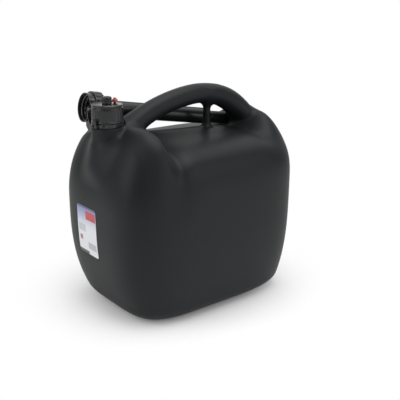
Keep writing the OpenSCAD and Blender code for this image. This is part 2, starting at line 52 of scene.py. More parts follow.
# Sizes of the solids, in millimetres, under the names that the part's source gives them
BODY_LENGTH, BODY_WIDTH, BULGE_HEIGHT = 367.0, 260.0, 190.0
FRONT_TUCK, REAR_TUCK, SIDE_TUCK, TUCK_POWER = 39.0, 17.0, 24.0, 3.0
PLAN_POWER, BASE_EDGE = 4.5, 25.0
SHOULDER_HEIGHT, SHOULDER_POWER = 291.0, 4.2
LOBE_HEIGHT, LOBE_POWER, LOBE_FALL = 371.0, 2.2, 1.05
WEB_HEIGHT, WEB_FALL, WEB_SPREAD = 305.0, 0.06, 26.0
VALLEY_SETBACK, VALLEY_LEAN, VALLEY_RUN, VALLEY_DEPTH, PINCH = 68.0, 0.16, 32.0, 10.0, 0.035
HUMP_RISE, HUMP_SPREAD = 52.0, 86.0
NECK_SETBACK, NECK_SHOULDER, COLUMN_RADIUS, COLUMN_FOOT = 35.5, 323.0, 26.5, 33.0
NECK_RADIUS, NECK_WALL, NECK_HEIGHT = 21.5, 3.0, 30.0
HANDLE_TOP, HANDLE_PEAK = 374.5, 34.0
HANDLE_FRONT_SETBACK, HANDLE_REAR_SETBACK = 52.5, 31.5
HANDLE_FRONT_FOOT, HANDLE_REAR_FOOT = 285.0, 262.0
GRIP_THICK, GRIP_WIDTH, REAR_SWELL, REAR_SPREAD = 34.0, 38.0, 3.0, 20.0
STRUT_PLACE, STRUT_RADIUS = 57.0, 6.5
COLLAR_RADIUS, COLLAR_GAP = 26.0, 0.3
CAP_HEIGHT, CAP_SKIRT, CAP_TOP, GASKET_THICK, NECK_GAP = 28.5, 3.0, 3.0, 2.0, 0.5
KNOB_RADIUS, KNOB_HEIGHT = 8.0, 11.5
BUTTON_OFFSET, BUTTON_RADIUS, BUTTON_PIN, BUTTON_STEM = 15.0, 4.6, 2.6, 1.6
BUTTON_CUP, BUTTON_PIN_HEIGHT, BUTTON_TRAVEL = 3.6, 2.5, 2.0
SPOUT_LENGTH, SPOUT_TILT, SPOUT_TURN = 296.0, 9.2, 5.0
SPOUT_LEAD, SPOUT_SIDE, SPOUT_LIFT = 8.0, 60.0, 22.0
TUBE_RADIUS, TUBE_WALL, CHANNEL_RISE, TUBE_STEP, NOZZLE_RADIUS = 13.8, 1.8, 1.4, 250.0, 9.0
FLANGE_THICK, NUT_LENGTH, NUT_LIP, NUT_WALL, NUT_GRIP = 3.0, 28.0, 10.5, 2.3, 3.2
NUT_DEPTH, NUT_GAP, TIP_RADIUS, TIP_GAP, POCKET_GAP = 20.0, 0.35, 11.0, 0.15, 2.0
LABEL_WIDTH, LABEL_HEIGHT, LABEL_LOW, LABEL_SIDE, LABEL_THICK = 60.0, 84.0, 105.0, 18.0, 0.3

# Shape of the dip and trough on top, and of the handle's arch: widths in millimetres, angles in degrees
WAIST_WIDTH, DIP_WIDTH, TROUGH_WIDTH, TROUGH_END, LOBE_RUN = 24, 22, 18, 30, 80
ARCH_START, ARCH_END, ARCH_FRONT_POWER, ARCH_REAR_POWER = -78, 89, 1.64, 2.1
FRONT_SWELL, FRONT_SPREAD = 6, 10

# Sizes that follow from them
HALF_LENGTH, HALF_WIDTH = BODY_LENGTH / 2, BODY_WIDTH / 2
NECK_X = NECK_SETBACK - HALF_LENGTH
NECK_TOP = NECK_SHOULDER + NECK_HEIGHT
BORE_RADIUS = NECK_RADIUS - NECK_WALL
VALLEY_X = NECK_X + VALLEY_SETBACK
FOOT_X = HALF_LENGTH - HANDLE_REAR_SETBACK
HANDLE_FRONT = HANDLE_PEAK + HALF_LENGTH - HANDLE_FRONT_SETBACK
HANDLE_REAR = FOOT_X - HANDLE_PEAK
GRIP_MIDDLE = HANDLE_TOP - GRIP_THICK / 2
CAP_INNER = NECK_RADIUS + NECK_GAP
CAP_RADIUS = CAP_INNER + CAP_SKIRT
CAP_CEILING = NECK_TOP + COLLAR_GAP + GASKET_THICK
CAP_HIGH = CAP_CEILING + CAP_TOP
CAP_LOW = CAP_HIGH - CAP_HEIGHT
LIP_RADIUS = CAP_INNER + NUT_WALL
GRIP_RADIUS = LIP_RADIUS + NUT_GRIP
COLUMN_BASE = BULGE_HEIGHT + 40
STRUT_LOW = WEB_HEIGHT - WEB_FALL * (STRUT_PLACE - VALLEY_X) - 14
TILT, TURN = math.radians(SPOUT_TILT), math.radians(SPOUT_TURN)
MOUTH = Vector((NECK_X - SPOUT_LEAD, SPOUT_SIDE, NECK_SHOULDER + SPOUT_LIFT))
TIP_X = MOUTH.x + SPOUT_LENGTH * math.cos(TILT) * math.cos(TURN)
STORE = (
    Matrix.Translation(MOUTH)
    @ Matrix.Rotation(-TURN, 4, "Z")
    @ Matrix.Rotation(math.radians(90) + TILT, 4, "Y")
)
ON_NECK = Matrix.Translation((NECK_X, 0, 0))

# The stage in metres and degrees: bearing, rise and distance of the camera and the lamps, the camera's
# lens and shift, the floor's fade to white, and the side on which the surroundings are bright
TARGET = (0, 0, 0.185)
VIEW_BEARING, VIEW_RISE, VIEW_DISTANCE = -37.5, 17.1, 1.2114
LENS, SENSOR, SHIFT = 61.2, 36, (0.047, -0.0205)
FRONT_LAMP, SIDE_LAMP, TOP_LAMP = (-100, 26, 1.5), (22, 24, 1.6), (30, 82, 1.5)
FLOOR_HALF, FADE_START, FADE_END = 6, 0.10, 0.34
BRIGHT_SIDE, BRIGHT_START, BRIGHT_END = (0.55, 0.72, 0.42), 0.25, 0.95

# Metres in a millimetre, the sine under which a corner counts as straight, and a sharp edge in degrees
MM = 0.001
STRAIGHT = 0.05
SHARP = 40


# Settings that a user would change

class CanSettings(bpy.types.PropertyGroup):
    grid: FloatProperty(
        name="Mesh size", description="Size of the faces of the blown body, in mm", default=2.6, min=2.5,
        max=8)
    neck_blend: FloatProperty(
        name="Neck blend", description="Width over which the neck flows into the body, in mm", default=28,
        min=4, max=50)
    handle_blend: FloatProperty(
        name="Handle blend", description="Width over which the handle flows into the body, in mm",
        default=20, min=4, max=40)
    strut_blend: FloatProperty(
        name="Strut blend", description="Width over which the strut flows out at its ends, in mm",
        default=9, min=2, max=20)
    color: FloatVectorProperty(
        name="Body colour", description="Colour of the blown plastic", default=(0.0092, 0.0104, 0.0114),
        subtype="COLOR", min=0, max=1)
    roughness: FloatProperty(
        name="Body roughness", description="Roughness of the blown plastic", default=0.46, subtype="FACTOR",
        min=0, max=1)


class ClosureSettings(bpy.types.PropertyGroup):
    thread_pitch: FloatProperty(
        name="Thread pitch", description="Rise of the thread for each turn, in mm", default=6, min=3, max=8)
    thread_depth: FloatProperty(
        name="Thread depth", description="Height of the thread ridge, in mm", default=1.4, min=0.5, max=1.5)
    cap_ribs: IntProperty(
        name="Cap ribs", description="Grip ribs around the cap", default=36, min=12, max=72)
    rib_depth: FloatProperty(
        name="Rib depth", description="Height of the cap's ribs, in mm", default=0.4, min=0.1, max=0.6)
    knob_flutes: IntProperty(
        name="Knob flutes", description="Flutes around the vent knob", default=10, min=6, max=20)
    color: FloatVectorProperty(
        name="Closure colour", description="Colour of the glossy closure", default=(0.012, 0.0125, 0.014),
        subtype="COLOR", min=0, max=1)
    button_color: FloatVectorProperty(
        name="Button colour", description="Colour of the push button", default=(0.42, 0.075, 0.06),
        subtype="COLOR", min=0, max=1)


class SpoutSettings(bpy.types.PropertyGroup):
    nut_ribs: IntProperty(
        name="Nut ribs", description="Grip ribs around the union nut", default=18, min=8, max=36)
    tip_ribs: IntProperty(name="Tip ribs", description="Ribs along the tip cap", default=16, min=8, max=32)
    color: FloatVectorProperty(
        name="Spout colour", description="Colour of the spout tube and its tip cap",
        default=(0.010, 0.011, 0.012), subtype="COLOR", min=0, max=1)


class LabelSettings(bpy.types.PropertyGroup):
    corner: FloatProperty(
        name="Label corner", description="Corner radius of the label, in mm", default=3, min=0.5, max=10)
    paper: FloatVectorProperty(
        name="Label ground", description="Ground colour of the label", default=(0.62, 0.63, 0.66),
        subtype="COLOR", min=0, max=1)
    band: FloatVectorProperty(
        name="Label band", description="Colour that the label turns to toward its top",
        default=(0.17, 0.21, 0.40), subtype="COLOR", min=0, max=1)
    accent: FloatVectorProperty(
        name="Label accent", description="Colour of the small upper field", default=(0.42, 0.045, 0.05),
        subtype="COLOR", min=0, max=1)


class StageSettings(bpy.types.PropertyGroup):
    floor: FloatVectorProperty(
        name="Floor colour", description="Colour of the floor", default=(0.95, 0.95, 0.95), subtype="COLOR",
        min=0, max=1)
    front_watts: FloatProperty(
        name="Front lamp", description="Power of the lamp before the narrow side", default=7.5, min=0,
        unit="POWER")
    side_watts: FloatProperty(
        name="Side lamp", description="Power of the lamp before the long side", default=8, min=0,
        unit="POWER")
    top_watts: FloatProperty(
        name="Top lamp", description="Power of the lamp overhead", default=14, min=0, unit="POWER")
    sky: FloatProperty(
        name="Sky", description="Strength of the even light from all around", default=0.55, min=0, max=1,
        subtype="FACTOR")
    reflection: FloatProperty(
        name="Dark side", description="Strength of what the side toward the camera reflects", default=0.1,
        min=0, max=1, subtype="FACTOR")


SETTINGS = {
    "jerrycan_can": CanSettings, "jerrycan_closure": ClosureSettings, "jerrycan_spout": SpoutSettings,
    "jerrycan_label": LabelSettings, "jerrycan_stage": StageSettings,
}


# Mesh helpers. All take millimetres.

def make_piece(name, points, faces, body, nodes, material):
    """Turns points and faces into a smooth piece that rides on a body and stands for its nodes."""
    mesh = bpy.data.meshes.new(name)
    mesh.from_pydata((np.asarray(points, float) * MM).tolist(), [], [list(map(int, f)) for f in faces])
    mesh.validate()
    mesh.update()
    piece = bpy.data.objects.new(name, mesh)
    bpy.context.scene.collection.objects.link(piece)
    mesh.shade_smooth()
    mesh.materials.append(material)
    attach(piece, body)
    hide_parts(*nodes)
    return piece


def sharpen(piece):
    """Keeps the piece's sharp edges hard."""
    piece.data.set_sharp_from_angle(angle=math.radians(SHARP))


def rounded(profile, radius):
    """Rounds the corners of a closed profile. Each point is (radius, height, weight)."""
    points = [np.array(p, float) for p in profile]
    result = []
    for i, p in enumerate(points):
        before, after = points[i - 1], points[(i + 1) % len(points)]
        a, b = before[:2] - p[:2], after[:2] - p[:2]
        la, lb = np.linalg.norm(a), np.linalg.norm(b)
        turn = abs(a[0] * b[1] - a[1] * b[0]) / max(la * lb, 1e-9)
        if turn < STRAIGHT:
            result.append(p)
            continue
        cut = min(radius, 0.42 * la, 0.42 * lb)
        start, end = p + (before - p) * cut / la, p + (after - p) * cut / lb
        for t in (0, 0.3, 0.7, 1):
            result.append((1 - t) ** 2 * start + 2 * t * (1 - t) * p + t * t * end)
    return result


def turned(profile, segments, place, ripple=None):
    """Points and faces of a closed profile turned on its axis. The ripple adds to its radius."""
    rows = np.array(profile, float)
    angle = np.arange(segments) * 2 * math.pi / segments
    radius = np.repeat(rows[:, :1], segments, 1)
    if ripple is not None:
        radius = radius + ripple(angle[None, :], rows[:, 1:2], rows[:, 2:3])
    x, y = radius * np.cos(angle), radius * np.sin(angle)
    z = np.repeat(rows[:, 1:2], segments, 1)
    points = np.stack([x, y, z, np.ones_like(z)], -1).reshape(-1, 4) @ np.array(place).T
    faces = []
    for i in range(len(rows)):
        j = (i + 1) % len(rows)
        for k in range(segments):
            m = (k + 1) % segments
            faces.append((i * segments + k, i * segments + m, j * segments + m, j * segments + k))
    return points[:, :3], faces


def turned_piece(name, profile, segments, place, body, nodes, material, ripple=None):
    """A piece turned from a closed profile that runs up the outside and down the inside."""
    points, faces = turned(profile, segments, place, ripple)
    sharpen(make_piece(name, points, faces, body, nodes, bpy.data.materials[material]))


def joined(parts):
    """Joins several (points, faces) pairs into one."""
    points, faces, start = [], [], 0
    for p, f in parts:
        points.append(np.asarray(p, float))
        faces += [tuple(i + start for i in face) for face in f]
        start += len(p)
    return np.concatenate(points), faces


def subdivide(profile, step):
    """Adds points along a profile so that none of its edges is longer than a step."""
    result = []
    for i, p in enumerate(profile):
        q = profile[(i + 1) % len(profile)]
        p, q = np.array(p, float), np.array(q, float)
        count = max(1, math.ceil(np.linalg.norm(q[:2] - p[:2]) / step))
        result += [p + (q - p) * k / count for k in range(count)]
    return result


def softened(name, node, width, body, material):
    """A copy of a node's solid with its edges rounded over."""
    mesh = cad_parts[node].data.copy()
    mesh.name = name
    piece = bpy.data.objects.new(name, mesh)
    bpy.context.scene.collection.objects.link(piece)
    mesh.materials.clear()
    if "custom_normal" in mesh.attributes:
        mesh.attributes.remove(mesh.attributes["custom_normal"])
    mesh.shade_smooth()
    mesh.materials.append(material)
    weld = piece.modifiers.new("weld", "WELD")
    weld.merge_threshold = 0.00002
    flat_faces = piece.modifiers.new("flats", "DECIMATE")
    flat_faces.decimate_type = "DISSOLVE"
    flat_faces.angle_limit = math.radians(1.0)
    edge = piece.modifiers.new("edge", "BEVEL")
    edge.width = width * MM
    edge.segments = 3
    edge.limit_method = "ANGLE"
    edge.angle_limit = math.radians(35)
    even = piece.modifiers.new("even", "WEIGHTED_NORMAL")
    even.weight = 100
    even.keep_sharp = True
    bpy.context.view_layer.update()
    shaped = bpy.data.meshes.new_from_object(piece.evaluated_get(bpy.context.evaluated_depsgraph_get()))
    piece.modifiers.clear()
    piece.data = shaped
    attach(piece, body)
    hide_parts(node)


# The form of the blown body, as distances to its surfaces in millimetres

def ease(t):
    """Rises smoothly from 0 to 1."""
    u = np.clip(t, 0, 1)
    return u * u * (3 - 2 * u)


def bell(t):
    """Falls from 1 in the middle to 0 on both sides."""
    return np.exp(-t * t)


def mix(a, b, t):
    """Value between two values."""
    return a + (b - a) * t


def tuck(most, z):
    """How far a side is drawn in below the widest height."""
    return most * (np.maximum(BULGE_HEIGHT - z, 0) / BULGE_HEIGHT) ** TUCK_POWER


def spout_axis(x):
    """Place across and height of the stored spout's axis."""
    run = (x - MOUTH.x) / math.cos(TURN) / math.cos(TILT)
    return MOUTH.y - run * math.cos(TILT) * math.sin(TURN), MOUTH.z - run * math.sin(TILT)


def valley(y):
    """Place along the can of the dip between the front lobe and the flat top."""
    return VALLEY_X - VALLEY_LEAN * np.abs(y)


def waist(x, y, z):
    """Share of its width that the body keeps beside the dip."""
    return 1 - PINCH * bell((x - valley(y)) / WAIST_WIDTH) * ease((z - BULGE_HEIGHT) / 70 + 0.3)


def flat(x, y):
    """Height of the top behind the dip, with the web under the handle and the hump at its rear foot."""
    web = (WEB_HEIGHT - WEB_FALL * (x - VALLEY_X) - SHOULDER_HEIGHT) * bell(y / WEB_SPREAD)
    dip = VALLEY_DEPTH * bell((x - valley(y)) / DIP_WIDTH) * (1 - bell(y / 34))
    hump = HUMP_RISE * ease((x - FOOT_X + 45) / 50) * bell((y / HUMP_SPREAD) ** 2)
    return SHOULDER_HEIGHT + web - dip + hump


def deck(x, y):
    """Height of the whole top, with the trough under the stored spout."""
    axis_y, axis_z = spout_axis(x)
    top = flat(x, y)
    trough = np.maximum(top - (axis_z - TUBE_RADIUS - POCKET_GAP), 0) * bell((y - axis_y) / TROUGH_WIDTH)
    trough = trough * ease((TIP_X + TROUGH_END - x) / TROUGH_END)
    lobe = LOBE_HEIGHT - LOBE_FALL * np.maximum(x - NECK_X, 0)
    return mix(lobe, top - trough, ease((x - valley(y)) / VALLEY_RUN + 0.5))


def body_distance(x, y, z):
    """Distance to the body without its neck and handle, negative inside."""
    across = y
    for _ in range(2):
        across = y / waist(x, across, z)
    rise = np.clip(1 - z / BASE_EDGE, 0, 1)
    edge = BASE_EDGE * (1 - np.sqrt(1 - rise * rise))
    low = np.minimum(z, BULGE_HEIGHT)
    reach_x = HALF_LENGTH - np.where(x < 0, tuck(FRONT_TUCK, low), tuck(REAR_TUCK, low)) - edge
    reach_y = HALF_WIDTH - tuck(SIDE_TUCK, low) - edge
    plan = (np.abs(x) / reach_x) ** PLAN_POWER + (np.abs(across) / reach_y) ** PLAN_POWER
    share = plan ** (1 / PLAN_POWER)
    up = np.maximum(z - BULGE_HEIGHT, 0)
    power = mix(LOBE_POWER, SHOULDER_POWER, ease((x - NECK_X) / LOBE_RUN))
    full = (share ** power + (up / (deck(x, across) - BULGE_HEIGHT)) ** power) ** (1 / power)
    wall = np.sqrt(x * x + y * y + up * up) * (1 - 1 / np.maximum(full, 1e-3))
    return np.maximum(wall, -z)


def corner(angle, power):
    """Point on a rounded corner of a given power, where 2 is a circle."""
    c, s = np.cos(angle), np.sin(angle)
    size = (np.abs(c) ** power + np.abs(s) ** power) ** (1 / power)
    return c / size, s / size


def handle_stations():
    """Middle line of the handle with its half thickness and half width."""
    degrees = np.linspace(ARCH_START, ARCH_END, 400)
    turn = np.radians(90 - np.abs(degrees))
    front = degrees < 0
    cf, sf = corner(turn, ARCH_FRONT_POWER)
    cr, sr = corner(turn, ARCH_REAR_POWER)
    x = np.where(front, HANDLE_PEAK - HANDLE_FRONT * cf, HANDLE_PEAK + HANDLE_REAR * cr)
    z = np.where(front, mix(HANDLE_FRONT_FOOT, GRIP_MIDDLE, sf), mix(HANDLE_REAR_FOOT, GRIP_MIDDLE, sr))
    thick = GRIP_THICK / 2 + REAR_SWELL * bell((x - HANDLE_PEAK - HANDLE_REAR * 0.75) / 45)
    thick = thick + FRONT_SWELL * bell((x - HANDLE_PEAK + HANDLE_FRONT) / 30)
    width = GRIP_WIDTH / 2 + REAR_SPREAD * bell((x - HANDLE_PEAK - HANDLE_REAR) / 26)
    width = width + FRONT_SPREAD * bell((x - HANDLE_PEAK + HANDLE_FRONT) / 34)
    return x, z, thick, width


STATIONS = handle_stations()


def handle_section(x, z):
    """Distance from the handle's middle line in its own plane, and its half sizes there."""
    sx, sz, thick, width = STATIONS
    shape = np.broadcast(x, z).shape
    fx, fz = np.broadcast_to(x, shape).ravel(), np.broadcast_to(z, shape).ravel()
    away, half_t, half_w = np.empty(fx.size), np.empty(fx.size), np.empty(fx.size)
    for a in range(0, fx.size, 20000):
        b = a + 20000
        d = (fx[a:b, None] - sx) ** 2 + (fz[a:b, None] - sz) ** 2
        i = np.clip(d.argmin(1), 0, len(sx) - 2)
        best = np.full(len(i), np.inf)
        for k in (np.maximum(i - 1, 0), i):
            ex, ez = sx[k + 1] - sx[k], sz[k + 1] - sz[k]
            t = np.clip(((fx[a:b] - sx[k]) * ex + (fz[a:b] - sz[k]) * ez) / (ex * ex + ez * ez), 0, 1)
            gap = np.hypot(fx[a:b] - sx[k] - t * ex, fz[a:b] - sz[k] - t * ez)
            closer = gap < best
            best = np.where(closer, gap, best)
            half_t[a:b] = np.where(closer, mix(thick[k], thick[k + 1], t), half_t[a:b])
            half_w[a:b] = np.where(closer, mix(width[k], width[k + 1], t), half_w[a:b])
        away[a:b] = best
    return away.reshape(shape), half_t.reshape(shape), half_w.reshape(shape)


def smooth_min(a, b, width):
    """Joins two distances with a fillet."""
    h = np.maximum(width - np.abs(a - b), 0) / width
    return np.minimum(a, b) - h * h * width / 4


def smooth_max(a, b, width):
    """Cuts one distance by another with a rounded edge."""
    return -smooth_min(-a, -b, width)


def can_distance(x, y, z, section, can):
    """Distance to the whole blown can, with its roots blended and its recesses cut."""
    body = body_distance(x, y, z)
    from_neck = np.hypot(x - NECK_X, y)
    slant = np.clip((z - COLUMN_BASE) / (NECK_SHOULDER - COLUMN_BASE), -0.5, 1)
    column = smooth_max(from_neck - mix(COLUMN_FOOT - 4, COLUMN_RADIUS, slant), z - NECK_SHOULDER, 3)
    column = smooth_max(column, COLUMN_BASE + 20 - z, 20)
    whole = smooth_min(body, column, can.neck_blend * (1 - 0.75 * ease((z - 290) / 30)))
    away, half_t, half_w = section
    size = np.sqrt((y / half_w) ** 2 + (away / half_t) ** 2)
    handle = np.hypot(y, away) * (1 - 1 / np.maximum(size, 1e-3))
    width = can.handle_blend * (1 - 0.45 * ease((x - 60) / 60)) * (1 - 0.6 * ease((-85 - x) / 25))
    whole = smooth_min(whole, handle, width)
    up = np.clip((z - STRUT_LOW) / (GRIP_MIDDLE - STRUT_LOW), 0, 1)
    strut = np.hypot(x - STRUT_PLACE, y) - STRUT_RADIUS * (1 + np.abs(2 * up - 1) ** 3)
    strut = np.maximum(strut, np.maximum(STRUT_LOW - z, z - GRIP_MIDDLE))
    whole = smooth_min(whole, strut, can.strut_blend * (1 + 0.9 * ease(2 * up - 1)))
    room = np.maximum(from_neck - COLLAR_RADIUS - 1.5, NECK_SHOULDER - z)
    whole = smooth_max(whole, -room, 1.5)
    turn = np.array(STORE.inverted())
    sx, sy, sz = (turn[k, 0] * x + turn[k, 1] * y + turn[k, 2] * z + turn[k, 3] for k in range(3))
    beside = np.hypot(sx, sy)
    tube_end, tip_end = TUBE_STEP + POCKET_GAP, SPOUT_LENGTH + POCKET_GAP
    tube_reach = TUBE_RADIUS + CHANNEL_RISE + POCKET_GAP
    nut = np.maximum(beside - GRIP_RADIUS - 1, np.maximum(-NUT_LENGTH - sz, sz - NUT_LENGTH - 2))
    tube = np.maximum(beside - tube_reach, np.maximum(NUT_LENGTH - sz, sz - tube_end))
    tip = np.maximum(beside - TIP_RADIUS - POCKET_GAP, np.maximum(tube_end - 1 - sz, sz - tip_end))
    whole = smooth_max(whole, -smooth_min(smooth_min(nut, tube, 3), tip, 3), 2.5)
    bore = np.maximum(from_neck - BORE_RADIUS - 1.5, COLUMN_BASE - z)
    return np.maximum(whole, -bore)


def net(values, origin, step):
    """One point for each grid cell that the surface crosses, and a face around each crossed edge."""
    inside = values < 0
    cells = np.zeros([n - 1 for n in values.shape], np.int8)
    for i in (0, 1):
        for j in (0, 1):
            for k in (0, 1):
                cells += inside[i:i + cells.shape[0], j:j + cells.shape[1], k:k + cells.shape[2]]
    crossed = (cells > 0) & (cells < 8)
    index = np.full(cells.shape, -1)
    index[crossed] = np.arange(crossed.sum())
    points = (np.argwhere(crossed) + 0.5) * step + origin
    faces = []
    for axis in range(3):
        first, second = (axis + 1) % 3, (axis + 2) % 3
        ahead = [slice(None)] * 3
        ahead[axis] = slice(1, None)
        back = [slice(None)] * 3
        back[axis] = slice(None, -1)
        a, b = inside[tuple(back)], inside[tuple(ahead)]
        edges = np.argwhere(a != b)
        keep = (edges[:, first] > 0) & (edges[:, second] > 0)
        keep &= (edges[:, first] < index.shape[first]) & (edges[:, second] < index.shape[second])
        edges = edges[keep]
        out = a[tuple(edges.T)]
        ring = []
        for da, db in ((-1, -1), (0, -1), (0, 0), (-1, 0)):
            at = edges.copy()
            at[:, first] += da
            at[:, second] += db
            ring.append(index[tuple(at.T)])
        quad = np.stack(ring, 1)
        quad[~out] = quad[~out][:, ::-1]
        faces.append(quad)
    return points, np.concatenate(faces)


def blown_mesh(can):
    """Points and faces of the blown can."""
    step = can.grid
    low = np.array([-HALF_LENGTH - 3 * step, -HALF_WIDTH - 3 * step, -3 * step])
    high = np.array([HALF_LENGTH + 3 * step, HALF_WIDTH + 3 * step, HANDLE_TOP + 4 * step])
    x, y, z = (np.arange(a, b, step) for a, b in zip(low, high))
    section = handle_section(x[:, None, None], z[None, None, :])
    values = can_distance(x[:, None, None], y[None, :, None], z[None, None, :], section, can)
    points, faces = net(values, low, step)

    def distance(p):
        return can_distance(p[:, 0], p[:, 1], p[:, 2], handle_section(p[:, 0], p[:, 2]), can)

    def seat(p):
        """Moves points onto the surface."""
        value = distance(p)
        slope = np.stack([distance(p + 0.05 * np.eye(3)[k]) - value for k in range(3)], 1) / 0.05
        move = slope * (value / np.maximum((slope ** 2).sum(1), 0.05))[:, None]
        length = np.linalg.norm(move, axis=1, keepdims=True)
        return p - move * np.minimum(1, 0.6 * step / np.maximum(length, 1e-9))

    start, end = faces.ravel(), np.roll(faces, -1, 1).ravel()
    count = np.bincount(start, minlength=len(points)) + np.bincount(end, minlength=len(points))
    for _ in range(3):
        points = seat(points)
        middle = np.stack([np.bincount(start, points[end, k], len(points)) + np.bincount(
            end, points[start, k], len(points)) for k in range(3)], 1) / count[:, None]
        points = points + 0.5 * (middle - points)
    for _ in range(3):
        points = seat(points)
    return points, faces


# Materials

def node_tree(name):
    """A material with its node tree, its Principled shader and a function that adds nodes."""
    material = bpy.data.materials.new(name)
    material.use_nodes = True
    tree = material.node_tree
    shader = tree.nodes["Principled BSDF"]

    def add(kind, **values):
        return add_node(tree, kind, **values)

    return material, tree, shader, add


def feed(tree, socket, value):
    """Links a socket to another one, or sets its value."""
    if isinstance(value, bpy.types.NodeSocket):
        tree.links.new(value, socket)
    else:
        socket.default_value = value


def add_node(tree, kind, **values):
    """Adds a node. Words that name a property set it, others set an input or link to it."""
    node = tree.nodes.new(kind)
    for key, value in values.items():
        if hasattr(node, key) and key not in node.inputs:
            setattr(node, key, value)
    for key, value in values.items():
        label = key.replace("_", " ")
        socket = node.inputs.get(label) or node.inputs.get(label.title())
        if key in ("a", "b"):
            socket = node.inputs[0 if key == "a" else 1]
        if socket is not None:
            feed(tree, socket, value)
    return node


def blend(tree, factor, below, above):
    """Colour that goes from one to another, each three numbers or a socket."""
    node = add_node(tree, "ShaderNodeMix", data_type="RGBA")
    tree.links.new(factor, node.inputs["Factor"])
    for socket, value in ((node.inputs[6], below), (node.inputs[7], above)):
        feed(tree, socket, value if isinstance(value, bpy.types.NodeSocket) else (*value, 1))
    return node.outputs[2]


def group(name, inputs, outputs):
    """An empty node group with named inputs and outputs."""
    tree = bpy.data.node_groups.new(name, "ShaderNodeTree")
    for label, kind, value in inputs:
        socket = tree.interface.new_socket(name=label, in_out="INPUT", socket_type=kind)
        if value is not None:
            socket.default_value = value
    for label, kind in outputs:
        tree.interface.new_socket(name=label, in_out="OUTPUT", socket_type=kind)
    return tree, tree.nodes.new("NodeGroupInput"), tree.nodes.new("NodeGroupOutput")


def grain_group():
    """Fine grain of moulded plastic, with slow waves of the wall behind it."""
    tree, entry, leave = group(
        "Moulded grain",
        [("Vector", "NodeSocketVector", None), ("Grain Scale", "NodeSocketFloat", 900.0),
         ("Wave Scale", "NodeSocketFloat", 18.0), ("Grain Share", "NodeSocketFloat", 0.5)],
        [("Height", "NodeSocketFloat"), ("Cloud", "NodeSocketFloat")],
    )
    vector = entry.outputs["Vector"]
    grain = add_node(tree, "ShaderNodeTexNoise", Vector=vector, Scale=entry.outputs["Grain Scale"],
                     Detail=3.0, Roughness=0.6)
    wave = add_node(tree, "ShaderNodeTexNoise", Vector=vector, Scale=entry.outputs["Wave Scale"],
                    Detail=2.0)
    height = add_node(tree, "ShaderNodeMix", data_type="FLOAT", Factor=entry.outputs["Grain Share"])
    tree.links.new(wave.outputs["Fac"], height.inputs[2])
    tree.links.new(grain.outputs["Fac"], height.inputs[3])
    tree.links.new(height.outputs[0], leave.inputs["Height"])
    tree.links.new(wave.outputs["Fac"], leave.inputs["Cloud"])
    return tree


def scuff_group():
    """Fine handling scratches and a little dust."""
    tree, entry, leave = group(
        "Handling scuffs",
        [("Vector", "NodeSocketVector", None), ("Scale", "NodeSocketFloat", 60.0),
         ("Amount", "NodeSocketFloat", 0.3)],
        [("Mask", "NodeSocketFloat")],
    )
    stretch = add_node(tree, "ShaderNodeMapping", Vector=entry.outputs["Vector"], Scale=(1.0, 1.0, 9.0),
                       Rotation=(0.5, 0.4, 0.2))
    lines = add_node(tree, "ShaderNodeTexNoise", Vector=stretch.outputs[0], Scale=entry.outputs["Scale"],
                     Detail=6.0, Roughness=0.7)
    patches = add_node(tree, "ShaderNodeTexNoise", Vector=entry.outputs["Vector"], Scale=12.0, Detail=3.0)
    thin = add_node(tree, "ShaderNodeMapRange", Value=lines.outputs["Fac"], From_Min=0.58, From_Max=0.72)
    place = add_node(tree, "ShaderNodeMapRange", Value=patches.outputs["Fac"], From_Min=0.45, From_Max=0.65)
    both = add_node(tree, "ShaderNodeMath", operation="MULTIPLY", a=thin.outputs[0], b=place.outputs[0])
    scaled = add_node(tree, "ShaderNodeMath", operation="MULTIPLY", a=both.outputs[0],
                      b=entry.outputs["Amount"])
    tree.links.new(scaled.outputs[0], leave.inputs["Mask"])
    return tree


def field_group():
    """Mask of a rectangle between two places across and two places up."""
    tree, entry, leave = group(
        "Printed field",
        [(label, "NodeSocketFloat", value) for label, value in (
            ("Across", 0.0), ("Up", 0.0), ("Left", 0.0), ("Right", 1.0), ("Low", 0.0), ("High", 1.0))],
        [("Mask", "NodeSocketFloat")],
    )
    tests = []
    for value, edge, operation in (("Across", "Left", "GREATER_THAN"), ("Across", "Right", "LESS_THAN"),
                                   ("Up", "Low", "GREATER_THAN"), ("Up", "High", "LESS_THAN")):
        test = add_node(tree, "ShaderNodeMath", operation=operation, a=entry.outputs[value],
                        b=entry.outputs[edge])
        tests.append(test.outputs[0])
    result = tests[0]
    for test in tests[1:]:
        result = add_node(tree, "ShaderNodeMath", operation="MULTIPLY", a=result, b=test).outputs[0]
    tree.links.new(result, leave.inputs["Mask"])
    return tree


def place_group(add, tree, **values):
    """Puts a node group in a material with its own values."""
    node = add("ShaderNodeGroup", node_tree=tree)
    for label, value in values.items():
        feed(node.id_data, node.inputs[label.replace("_", " ")], value)
    return node


